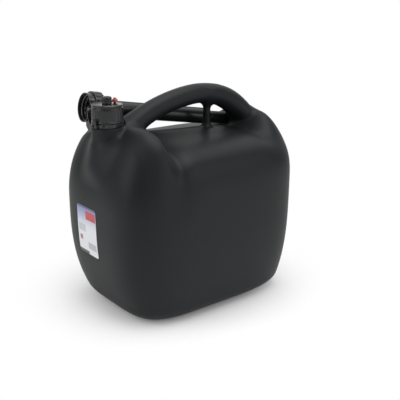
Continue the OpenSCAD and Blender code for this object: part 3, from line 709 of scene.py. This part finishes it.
def plastic(name, color, roughness, grain, wave, share, bump, scuffs, specular=0.5):
    """Moulded plastic with grain, slow waves, a drifting tone and fine scuffs."""
    material, tree, shader, add = node_tree(name)
    place = add("ShaderNodeTexCoord").outputs["Object"]
    surface = place_group(add, bpy.data.node_groups["Moulded grain"], Vector=place, Grain_Scale=grain,
                          Wave_Scale=wave, Grain_Share=share)
    worn = place_group(add, bpy.data.node_groups["Handling scuffs"], Vector=place, Scale=70.0,
                       Amount=scuffs)
    tone = blend(tree, surface.outputs["Cloud"], [c * 0.86 for c in color], [c * 1.14 for c in color])
    pale = blend(tree, worn.outputs["Mask"], tone, [min(1, c * 2 + 0.03) for c in color])
    tree.links.new(pale, shader.inputs["Base Color"])
    rough = add("ShaderNodeMapRange", Value=surface.outputs["Cloud"], To_Min=roughness - 0.05,
                To_Max=roughness + 0.05)
    rougher = add("ShaderNodeMath", operation="ADD", a=rough.outputs[0], b=worn.outputs["Mask"])
    tree.links.new(rougher.outputs[0], shader.inputs["Roughness"])
    relief = add("ShaderNodeBump", Strength=bump[0], Distance=bump[1], Height=surface.outputs["Height"])
    tree.links.new(relief.outputs["Normal"], shader.inputs["Normal"])
    shader.inputs["Specular IOR Level"].default_value = specular
    return material, tree, shader, add, relief


def label_material(label):
    """Printed label: a pale ground that turns blue toward the top, with plain fields of colour."""
    material, tree, shader, add = node_tree("Printed label")
    uv = add("ShaderNodeUVMap", uv_map="label")
    split = add("ShaderNodeSeparateXYZ", Vector=uv.outputs[0])
    across, up = split.outputs[0], split.outputs[1]
    rise = add("ShaderNodeMapRange", Value=up, From_Min=0.52, interpolation_type="SMOOTHSTEP")
    color = blend(tree, rise.outputs[0], label.paper, label.band)
    fields = (
        ([c * 0.45 for c in label.band], 0.0, 1.0, 0.955, 1.0),
        (label.accent, 0.46, 0.97, 0.74, 0.92),
        ([c * 0.72 for c in label.paper], 0.06, 0.44, 0.46, 0.62),
        ((0.30, 0.13, 0.14), 0.10, 0.24, 0.27, 0.37),
        ([c * 0.62 for c in label.paper], 0.52, 0.94, 0.13, 0.27),
        ((0.05, 0.065, 0.055), 0.0, 0.52, 0.0, 0.06),
    )
    for tint, left, right, low, high in fields:
        mask = place_group(add, bpy.data.node_groups["Printed field"], Across=across, Up=up, Left=left,
                           Right=right, Low=low, High=high)
        color = blend(tree, mask.outputs["Mask"], color, tint)
    tree.links.new(color, shader.inputs["Base Color"])
    place = add("ShaderNodeTexCoord").outputs["Object"]
    surface = place_group(add, bpy.data.node_groups["Moulded grain"], Vector=place, Grain_Scale=1500.0,
                          Wave_Scale=70.0, Grain_Share=0.3)
    rough = add("ShaderNodeMapRange", Value=surface.outputs["Cloud"], To_Min=0.30, To_Max=0.42)
    tree.links.new(rough.outputs[0], shader.inputs["Roughness"])
    relief = add("ShaderNodeBump", Strength=0.12, Distance=0.0002, Height=surface.outputs["Height"])
    tree.links.new(relief.outputs["Normal"], shader.inputs["Normal"])
    return material


def body_material(can):
    """Blown plastic with the faint line where the two halves of the mould met."""
    material, tree, shader, add, relief = plastic(
        "Blown plastic", can.color, can.roughness, 1100.0, 14.0, 0.75, (0.08, 0.0004), 0.03, specular=0.2)
    place = add("ShaderNodeTexCoord").outputs["Object"]
    split = add("ShaderNodeSeparateXYZ", Vector=place)
    side = add("ShaderNodeMath", operation="ABSOLUTE", a=split.outputs[1])
    line = add("ShaderNodeMapRange", Value=side.outputs[0], From_Min=0.0009, From_Max=0.0003,
               interpolation_type="SMOOTHSTEP")
    seam = add("ShaderNodeBump", Strength=0.18, Distance=0.0004, Height=line.outputs[0],
               Normal=relief.outputs["Normal"])
    tree.links.new(seam.outputs["Normal"], shader.inputs["Normal"])
    return material


def steel_material():
    """Drawn spring wire."""
    material, tree, shader, add = node_tree("Spring wire")
    place = add("ShaderNodeTexCoord").outputs["Object"]
    surface = place_group(add, bpy.data.node_groups["Moulded grain"], Vector=place, Grain_Scale=2500.0,
                          Wave_Scale=300.0, Grain_Share=0.5)
    tone = blend(tree, surface.outputs["Cloud"], (0.50, 0.51, 0.53), (0.68, 0.69, 0.71))
    tree.links.new(tone, shader.inputs["Base Color"])
    shader.inputs["Metallic"].default_value = 1.0
    rough = add("ShaderNodeMapRange", Value=surface.outputs["Height"], To_Min=0.22, To_Max=0.40)
    tree.links.new(rough.outputs[0], shader.inputs["Roughness"])
    return material


def repaint(node, material):
    """Gives a node's own solid a finish."""
    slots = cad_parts[node].data.materials
    if len(slots) == 0:
        slots.append(material)
    for k in range(len(slots)):
        slots[k] = material


# Operators, one for each piece or group of like pieces

class JERRYCAN_OT_finishes(bpy.types.Operator):
    """Builds the node groups and the materials"""
    bl_idname = "jerrycan.finishes"
    bl_label = "Finishes"

    def execute(self, context):
        scene = context.scene
        closure, spout = scene.jerrycan_closure, scene.jerrycan_spout
        grain_group()
        scuff_group()
        field_group()
        body_material(scene.jerrycan_can)
        label_material(scene.jerrycan_label)
        plastic("Glossy closure", closure.color, 0.17, 900.0, 40.0, 0.3, (0.02, 0.0002), 0.04)
        plastic("Satin bracket", closure.color, 0.24, 900.0, 40.0, 0.4, (0.03, 0.0002), 0.04)
        plastic("Red button", closure.button_color, 0.25, 1200.0, 90.0, 0.4, (0.05, 0.0002), 0.05)
        plastic("Satin spout", spout.color, 0.30, 900.0, 40.0, 0.5, (0.07, 0.0003), 0.12)
        plastic("Seal rubber", (0.03, 0.03, 0.031), 0.62, 1600.0, 120.0, 0.6, (0.12, 0.0003), 0.05)
        steel_material()
        return {"FINISHED"}


class JERRYCAN_OT_can(bpy.types.Operator):
    """Builds the blown can with its handle, strut and threaded neck"""
    bl_idname = "jerrycan.can"
    bl_label = "Blown can"

    def execute(self, context):
        can, closure = context.scene.jerrycan_can, context.scene.jerrycan_closure
        root = NECK_RADIUS - closure.thread_depth
        low, high = NECK_SHOULDER - 4, NECK_TOP
        profile = subdivide(rounded([
            (root, low, 0), (root, NECK_SHOULDER + 7, 0), (root, NECK_SHOULDER + 10, 1),
            (root, high - 6, 1), (root, high - 4, 0), (root, high, 0), (BORE_RADIUS, high, 0),
            (BORE_RADIUS, low - 6, 0), (root - 0.4, low - 6, 0),
        ], 0.7), 0.4)
        ripple = helix(closure.thread_pitch, closure.thread_depth, 0.0)
        points, faces = joined([blown_mesh(can), turned(profile, 144, ON_NECK, ripple)])
        make_piece("canister_shell", points, faces, "can", ["canister"],
                   bpy.data.materials["Blown plastic"])
        return {"FINISHED"}


def helix(pitch, depth, phase, inward=False):
    """Ridge of a right-handed thread, added to the radius where the weight is 1."""
    def ripple(angle, height, weight):
        turn = (height / pitch - angle / (2 * math.pi) + phase) % 1.0
        ridge = ease((0.30 - np.abs(turn - 0.5)) / 0.20)
        return (-1 if inward else 1) * depth * ridge * weight
    return ripple


class JERRYCAN_OT_label(bpy.types.Operator):
    """Builds the label on the front face"""
    bl_idname = "jerrycan.label"
    bl_label = "Label"

    def execute(self, context):
        radius = context.scene.jerrycan_label.corner
        half_w, half_h = LABEL_WIDTH / 2, LABEL_HEIGHT / 2
        rows, columns = 43, 31
        u, v = np.meshgrid(np.linspace(-1, 1, columns), np.linspace(-1, 1, rows))
        y, z = u * half_w, v * half_h
        over = np.maximum(np.abs(z) - half_h + radius, 0)
        y = u * (half_w - radius + np.sqrt(np.maximum(radius ** 2 - over ** 2, 0)))
        height = LABEL_LOW + half_h + z
        across = LABEL_SIDE + y
        layers = []
        for out in (0.12, 0.05 + LABEL_THICK):
            front = HALF_LENGTH - tuck(FRONT_TUCK, height) + out
            side = HALF_WIDTH - tuck(SIDE_TUCK, height) + out
            x = -front * (1 - (np.abs(across) / side) ** PLAN_POWER) ** (1 / PLAN_POWER)
            layers.append(np.stack([x, across, height], -1).reshape(-1, 3))
        count = rows * columns
        faces = []
        for i in range(rows - 1):
            for k in range(columns - 1):
                a = i * columns + k
                faces.append((a, a + 1, a + columns + 1, a + columns))
                faces.append((count + a, count + a + columns, count + a + columns + 1, count + a + 1))
        rim = list(range(columns)) + [i * columns + columns - 1 for i in range(1, rows)]
        rim += [(rows - 1) * columns + k for k in range(columns - 2, -1, -1)]
        rim += [i * columns for i in range(rows - 2, 0, -1)]
        for a, b in zip(rim, rim[1:] + rim[:1]):
            faces.append((b, a, count + a, count + b))
        piece = make_piece("label_sheet", np.concatenate(layers), faces, "can", ["label"],
                           bpy.data.materials["Printed label"])
        sharpen(piece)
        uv = piece.data.uv_layers.new(name="label")
        for loop in piece.data.loops:
            p = piece.data.vertices[loop.vertex_index].co / MM
            across, up = (LABEL_SIDE + half_w - p.y) / LABEL_WIDTH, (p.z - LABEL_LOW) / LABEL_HEIGHT
            uv.data[loop.index].uv = (across, up)
        return {"FINISHED"}


class JERRYCAN_OT_cap(bpy.types.Operator):
    """Builds the ribbed screw cap with its inner thread"""
    bl_idname = "jerrycan.cap"
    bl_label = "Screw cap"

    def execute(self, context):
        closure = context.scene.jerrycan_closure
        outer, low, high = CAP_RADIUS, CAP_LOW, CAP_HIGH
        body = rounded([
            (outer + 0.6, low, 0), (outer + 0.6, low + 2.4, 0), (outer, low + 3.0, 0),
            (outer, low + 4.0, 1), (outer, high - 8.0, 1), (outer, high - 5.6, 0), (outer, high - 5.0, 0),
            (outer - 0.8, high - 4.6, 0), (outer - 0.8, high - 3.4, 0), (outer, high - 3.0, 0),
            (outer, high - 1.2, 0), (outer - 1.2, high, 0), (outer - 3.0, high, 0),
            (outer - 3.4, high - 0.35, 0), (outer - 5.2, high - 0.35, 0), (outer - 5.6, high, 0),
            (7.0, high, 0), (7.0, high - 1.4, 0), (4.08, high - 1.4, 0), (4.08, CAP_CEILING, 0),
            (CAP_INNER, CAP_CEILING, 0), (CAP_INNER, CAP_CEILING - 4, 0), (CAP_INNER, CAP_CEILING - 6, -1),
            (CAP_INNER, low + 6, -1), (CAP_INNER, low + 4, 0), (CAP_INNER, low, 0),
        ], 0.45)
        ribs = closure.cap_ribs
        thread = helix(closure.thread_pitch, closure.thread_depth, 0.5, inward=True)

        def ripple(angle, height, weight):
            rib = closure.rib_depth * ease(0.5 + 0.9 * np.cos(angle * ribs)) * np.maximum(weight, 0)
            return rib + thread(angle, height, np.maximum(-weight, 0))

        turned_piece("cap_shell", subdivide(body, 0.5), ribs * 6, ON_NECK, "cap",
                     ["screw_cap"], "Glossy closure", ripple)
        return {"FINISHED"}


class JERRYCAN_OT_knob(bpy.types.Operator):
    """Builds the fluted vent knob on its hollow stem"""
    bl_idname = "jerrycan.knob"
    bl_label = "Vent knob"

    def execute(self, context):
        flutes = context.scene.jerrycan_closure.knob_flutes
        foot, tip = CAP_HIGH + 0.3, CAP_CEILING - GASKET_THICK + 0.3
        top = CAP_HIGH + KNOB_HEIGHT
        profile = rounded([
            (4.0, foot, 0), (KNOB_RADIUS, foot, 0), (KNOB_RADIUS, foot + 1.8, 0),
            (KNOB_RADIUS - 0.1, foot + 2.6, 1), (KNOB_RADIUS - 0.1, top - 2.0, 1),
            (KNOB_RADIUS - 1.6, top, 0.7), (4.6, top, 0), (4.0, top - 0.8, 0), (1.5, top - 0.8, 0),
            (1.5, tip, 0), (5.4, tip, 0), (5.4, CAP_CEILING - 0.2, 0), (4.0, CAP_CEILING - 0.2, 0),
        ], 0.5)

        def ripple(angle, height, weight):
            return -0.9 * weight * ease(0.5 + 1.2 * (np.cos(angle * flutes) - 0.35))

        turned_piece("knob_shell", subdivide(profile, 0.8), flutes * 16, ON_NECK, "vent",
                     ["vent_knob"], "Glossy closure", ripple)
        return {"FINISHED"}


class JERRYCAN_OT_clip(bpy.types.Operator):
    """Softens the edges of the clip ring and the child lock, and builds the red button"""
    bl_idname = "jerrycan.clip"
    bl_label = "Clip ring, lever and button"

    def execute(self, context):
        satin = bpy.data.materials["Satin bracket"]
        softened("collar_bracket", "neck_collar", 0.45, "can", satin)
        softened("lever_arm", "lock_lever", 0.3, "lever", satin)
        place = ON_NECK @ Matrix.Translation((BUTTON_OFFSET, 0, 0))
        cup = CAP_HIGH + BUTTON_TRAVEL + 0.2
        top = cup + BUTTON_CUP
        stem = CAP_CEILING + BUTTON_TRAVEL + 0.1
        profile = rounded([
            (BUTTON_RADIUS, cup, 0), (BUTTON_RADIUS, top, 0), (BUTTON_PIN + 0.3, top, 0),
            (BUTTON_PIN, top + 0.3, 0), (BUTTON_PIN, top + BUTTON_PIN_HEIGHT, 0),
            (0.05, top + BUTTON_PIN_HEIGHT + 0.05, 0), (0.05, stem, 0), (BUTTON_STEM, stem, 0),
            (BUTTON_STEM, top - 1.2, 0), (BUTTON_RADIUS - 0.9, top - 1.2, 0), (BUTTON_RADIUS - 0.9, cup, 0),
        ], 0.45)
        turned_piece("button_shell", profile, 64, place, "button", ["lock_button"],
                     "Red button")
        return {"FINISHED"}


class JERRYCAN_OT_spout(bpy.types.Operator):
    """Builds the spout tube, its union nut and its tip cap"""
    bl_idname = "jerrycan.spout"
    bl_label = "Spout"

    def execute(self, context):
        closure, spout = context.scene.jerrycan_closure, context.scene.jerrycan_spout
        flange = NUT_DEPTH + GASKET_THICK + 0.05
        flange_high = flange + FLANGE_THICK
        end, inner, thin = SPOUT_LENGTH - 4, TUBE_RADIUS - TUBE_WALL, NOZZLE_RADIUS - TUBE_WALL
        tube = subdivide(rounded([
            (inner, flange, 0), (CAP_INNER - 0.4, flange, 0), (CAP_INNER - 0.4, flange_high, 0),
            (TUBE_RADIUS, flange_high, 0), (TUBE_RADIUS, NUT_LENGTH + 3, 0),
            (TUBE_RADIUS, NUT_LENGTH + 5, 1), (TUBE_RADIUS, TUBE_STEP - 9, 1),
            (TUBE_RADIUS, TUBE_STEP - 6, 0), (TUBE_RADIUS, TUBE_STEP - 4, 0), (NOZZLE_RADIUS, TUBE_STEP, 0),
            (NOZZLE_RADIUS, end - 1, 0), (NOZZLE_RADIUS - 1, end, 0), (thin, end, 0),
            (thin, TUBE_STEP - 1, 0), (inner, TUBE_STEP - 5, 0),
        ], 0.8), 6)

        def channel(angle, height, weight):
            off = np.abs(angle % (2 * math.pi) - math.pi)
            return weight * CHANNEL_RISE * ease((0.27 - off) / 0.12)

        turned_piece("tube_shell", tube, 96, STORE, "spout", ["spout_tube"],
                     "Satin spout", channel)
        seat = flange_high + 0.3
        nut = subdivide(rounded([
            (CAP_INNER, 0, 0), (LIP_RADIUS, 0, 0), (LIP_RADIUS, 2.6, 0), (LIP_RADIUS - 0.7, 3.0, 0),
            (LIP_RADIUS - 0.7, NUT_LIP - 1.4, 0), (LIP_RADIUS, NUT_LIP - 1, 0), (GRIP_RADIUS, NUT_LIP, 0),
            (GRIP_RADIUS, NUT_LIP + 1.2, 0), (GRIP_RADIUS, NUT_LIP + 2.4, 1),
            (GRIP_RADIUS, NUT_LENGTH - 1.5, 1), (GRIP_RADIUS - 1.5, NUT_LENGTH, 1),
            (TUBE_RADIUS + 3.0, NUT_LENGTH, 0), (TUBE_RADIUS + NUT_GAP, NUT_LENGTH, 0),
            (TUBE_RADIUS + NUT_GAP, seat, 0), (CAP_INNER, seat, 0), (CAP_INNER, NUT_DEPTH - 2, 0),
            (CAP_INNER, NUT_DEPTH - 3, -1), (CAP_INNER, 4.5, -1), (CAP_INNER, 3, 0),
        ], 0.5), 0.4)
        thread = helix(closure.thread_pitch, closure.thread_depth, 0.5, inward=True)
        ribs = spout.nut_ribs

        def grip(angle, height, weight):
            dent = -1.4 * ease(0.5 + 1.3 * (np.cos(angle * ribs) - 0.2)) * np.maximum(weight, 0)
            return dent + thread(angle, height, np.maximum(-weight, 0))

        turned_piece("nut_shell", nut, ribs * 12, STORE, "nut", ["spout_nut"],
                     "Glossy closure", grip)
        start, ribs_tip = TUBE_STEP + 2, spout.tip_ribs
        tip = subdivide(rounded([
            (TIP_RADIUS, start, 0), (TIP_RADIUS, start + 3.4, 0), (TIP_RADIUS - 0.1, start + 4.4, 1),
            (TIP_RADIUS - 0.1, SPOUT_LENGTH - 2, 1), (TIP_RADIUS - 1.5, SPOUT_LENGTH, 0.5),
            (0.05, SPOUT_LENGTH, 0), (0.05, SPOUT_LENGTH - 2.6, 0),
            (NOZZLE_RADIUS + TIP_GAP, SPOUT_LENGTH - 2.6, 0), (NOZZLE_RADIUS + TIP_GAP, start, 0),
        ], 0.6), 2.5)

        def tip_ripple(angle, height, weight):
            return -0.7 * weight * ease(0.5 + 1.3 * (np.cos(angle * ribs_tip) - 0.3))

        turned_piece("tip_shell", tip, ribs_tip * 8, STORE, "tip", ["tip_cap"],
                     "Satin spout", tip_ripple)
        return {"FINISHED"}


class JERRYCAN_OT_seals(bpy.types.Operator):
    """Gives the hidden seals and the spring their finishes"""
    bl_idname = "jerrycan.seals"
    bl_label = "Seals and spring"

    def execute(self, context):
        for node in ("cap_gasket", "vent_seal", "spout_gasket"):
            repaint(node, bpy.data.materials["Seal rubber"])
        repaint("button_spring", bpy.data.materials["Spring wire"])
        return {"FINISHED"}


def aim(thing, place):
    """Puts a lamp or camera at a place, looking at the target."""
    thing.location = place
    thing.rotation_euler = (Vector(TARGET) - place).to_track_quat("-Z", "Y").to_euler()
    bpy.context.scene.collection.objects.link(thing)
    return thing


def seen_directly(tree):
    """Mask of what the camera sees itself or through glass, with its Light Path node."""
    path = tree.nodes.new("ShaderNodeLightPath")
    seen = add_node(tree, "ShaderNodeMath", operation="MAXIMUM", a=path.outputs["Is Camera Ray"],
                    b=path.outputs["Is Transmission Ray"])
    return seen.outputs[0], path


def around(bearing, rise, distance):
    """Place at a bearing from the front, a rise above level and a distance from the target."""
    a, e = math.radians(bearing), math.radians(rise)
    away = Vector((math.sin(a) * math.cos(e), -math.cos(a) * math.cos(e), math.sin(e)))
    return Vector(TARGET) + away * distance


def softbox(name, place, size, watts):
    """An area lamp that looks at the target."""
    lamp = bpy.data.lights.new(name, "AREA")
    lamp.shape = "RECTANGLE"
    lamp.size, lamp.size_y = size
    lamp.energy = watts
    aim(bpy.data.objects.new(name, lamp), around(*place))


class JERRYCAN_OT_stage(bpy.types.Operator):
    """Builds the floor, the pale surroundings, the lamps and the camera"""
    bl_idname = "jerrycan.stage"
    bl_label = "Stage"

    def execute(self, context):
        stage = context.scene.jerrycan_stage
        camera = bpy.data.cameras.new("camera")
        camera.lens, camera.sensor_width = LENS, SENSOR
        camera.shift_x, camera.shift_y = SHIFT
        place = around(VIEW_BEARING, VIEW_RISE, VIEW_DISTANCE)
        context.scene.camera = aim(bpy.data.objects.new("camera", camera), place)
        floor_mesh = bpy.data.meshes.new("floor")
        corners = [(x * FLOOR_HALF, y * FLOOR_HALF, 0) for x, y in ((-1, -1), (1, -1), (1, 1), (-1, 1))]
        floor_mesh.from_pydata(corners, [], [(0, 1, 2, 3)])
        floor = bpy.data.objects.new("floor", floor_mesh)
        context.scene.collection.objects.link(floor)
        floor_mesh.materials.append(self.floor_material(stage))
        self.surroundings(context.scene, stage)
        softbox("front_lamp", FRONT_LAMP, (0.9, 1.2), stage.front_watts)
        softbox("side_lamp", SIDE_LAMP, (1.5, 1.2), stage.side_watts)
        softbox("top_lamp", TOP_LAMP, (1.2, 1.2), stage.top_watts)
        context.scene.view_settings.view_transform = "Standard"
        return {"FINISHED"}

    def floor_material(self, stage):
        """Pale floor that keeps the shadow and meets the white surroundings."""
        material, tree, shader, add = node_tree("Pale floor")
        shader.inputs["Base Color"].default_value = (*stage.floor, 1)
        shader.inputs["Roughness"].default_value = 0.9
        shader.inputs["Specular IOR Level"].default_value = 0.1
        place = add("ShaderNodeTexCoord").outputs["Object"]
        far = add("ShaderNodeVectorMath", operation="LENGTH")
        tree.links.new(place, far.inputs[0])
        fade = add("ShaderNodeMapRange", Value=far.outputs["Value"], From_Min=FADE_START, From_Max=FADE_END,
                   interpolation_type="SMOOTHSTEP")
        amount = add("ShaderNodeMath", operation="MULTIPLY", a=seen_directly(tree)[0], b=fade.outputs[0])
        white = add("ShaderNodeEmission", Strength=1.0, Color=(1, 1, 1, 1))
        both = add("ShaderNodeMixShader")
        for socket, source in zip(both.inputs, (amount, shader, white)):
            tree.links.new(source.outputs[0], socket)
        tree.links.new(both.outputs[0], tree.nodes["Material Output"].inputs["Surface"])
        return material

    def surroundings(self, scene, stage):
        """White where the camera or a reflection looks, plain soft light elsewhere."""
        world = bpy.data.worlds.new("surroundings")
        scene.world = world
        world.use_nodes = True
        tree = world.node_tree
        back = tree.nodes["Background"]
        back.inputs["Color"].default_value = (1, 1, 1, 1)
        seen, path = seen_directly(tree)
        place = tree.nodes.new("ShaderNodeTexCoord")
        behind = add_node(tree, "ShaderNodeVectorMath", operation="DOT_PRODUCT")
        tree.links.new(place.outputs["Generated"], behind.inputs[0])
        behind.inputs[1].default_value = BRIGHT_SIDE
        mirrored = add_node(tree, "ShaderNodeMapRange", Value=behind.outputs["Value"],
                            From_Min=BRIGHT_START, From_Max=BRIGHT_END, To_Min=stage.reflection,
                            interpolation_type="SMOOTHSTEP")
        even = add_node(tree, "ShaderNodeMix", data_type="FLOAT", Factor=path.outputs["Is Glossy Ray"])
        even.inputs[2].default_value = stage.sky
        tree.links.new(mirrored.outputs[0], even.inputs[3])
        strength = add_node(tree, "ShaderNodeMix", data_type="FLOAT", Factor=seen)
        tree.links.new(even.outputs[0], strength.inputs[2])
        strength.inputs[3].default_value = 1.0
        tree.links.new(strength.outputs[0], back.inputs["Strength"])


STEPS = (
    JERRYCAN_OT_finishes, JERRYCAN_OT_can, JERRYCAN_OT_label, JERRYCAN_OT_cap, JERRYCAN_OT_knob,
    JERRYCAN_OT_clip, JERRYCAN_OT_spout, JERRYCAN_OT_seals, JERRYCAN_OT_stage,
)


class JERRYCAN_PT_panel(bpy.types.Panel):
    """Lists the sizes and colours and the steps that build the jerrycan"""
    bl_idname = "JERRYCAN_PT_panel"
    bl_label = "Jerrycan"
    bl_space_type = "VIEW_3D"
    bl_region_type = "UI"
    bl_category = "Jerrycan"

    def draw(self, context):
        for key, kind in SETTINGS.items():
            box = self.layout.box()
            for name in kind.__annotations__:
                box.prop(getattr(context.scene, key), name)
        for step in STEPS:
            self.layout.operator(step.bl_idname)


def register():
    for kind in (*SETTINGS.values(), *STEPS, JERRYCAN_PT_panel):
        bpy.utils.register_class(kind)
    for key, kind in SETTINGS.items():
        setattr(bpy.types.Scene, key, PointerProperty(type=kind))


def unregister():
    for key in SETTINGS:
        delattr(bpy.types.Scene, key)
    for kind in (JERRYCAN_PT_panel, *reversed(STEPS), *reversed(SETTINGS.values())):
        bpy.utils.unregister_class(kind)


def build():
    """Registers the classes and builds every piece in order."""
    register()
    for step in STEPS:
        family, action = step.bl_idname.split(".")
        getattr(getattr(bpy.ops, family), action)()


if __name__ == "__main__":
    build()
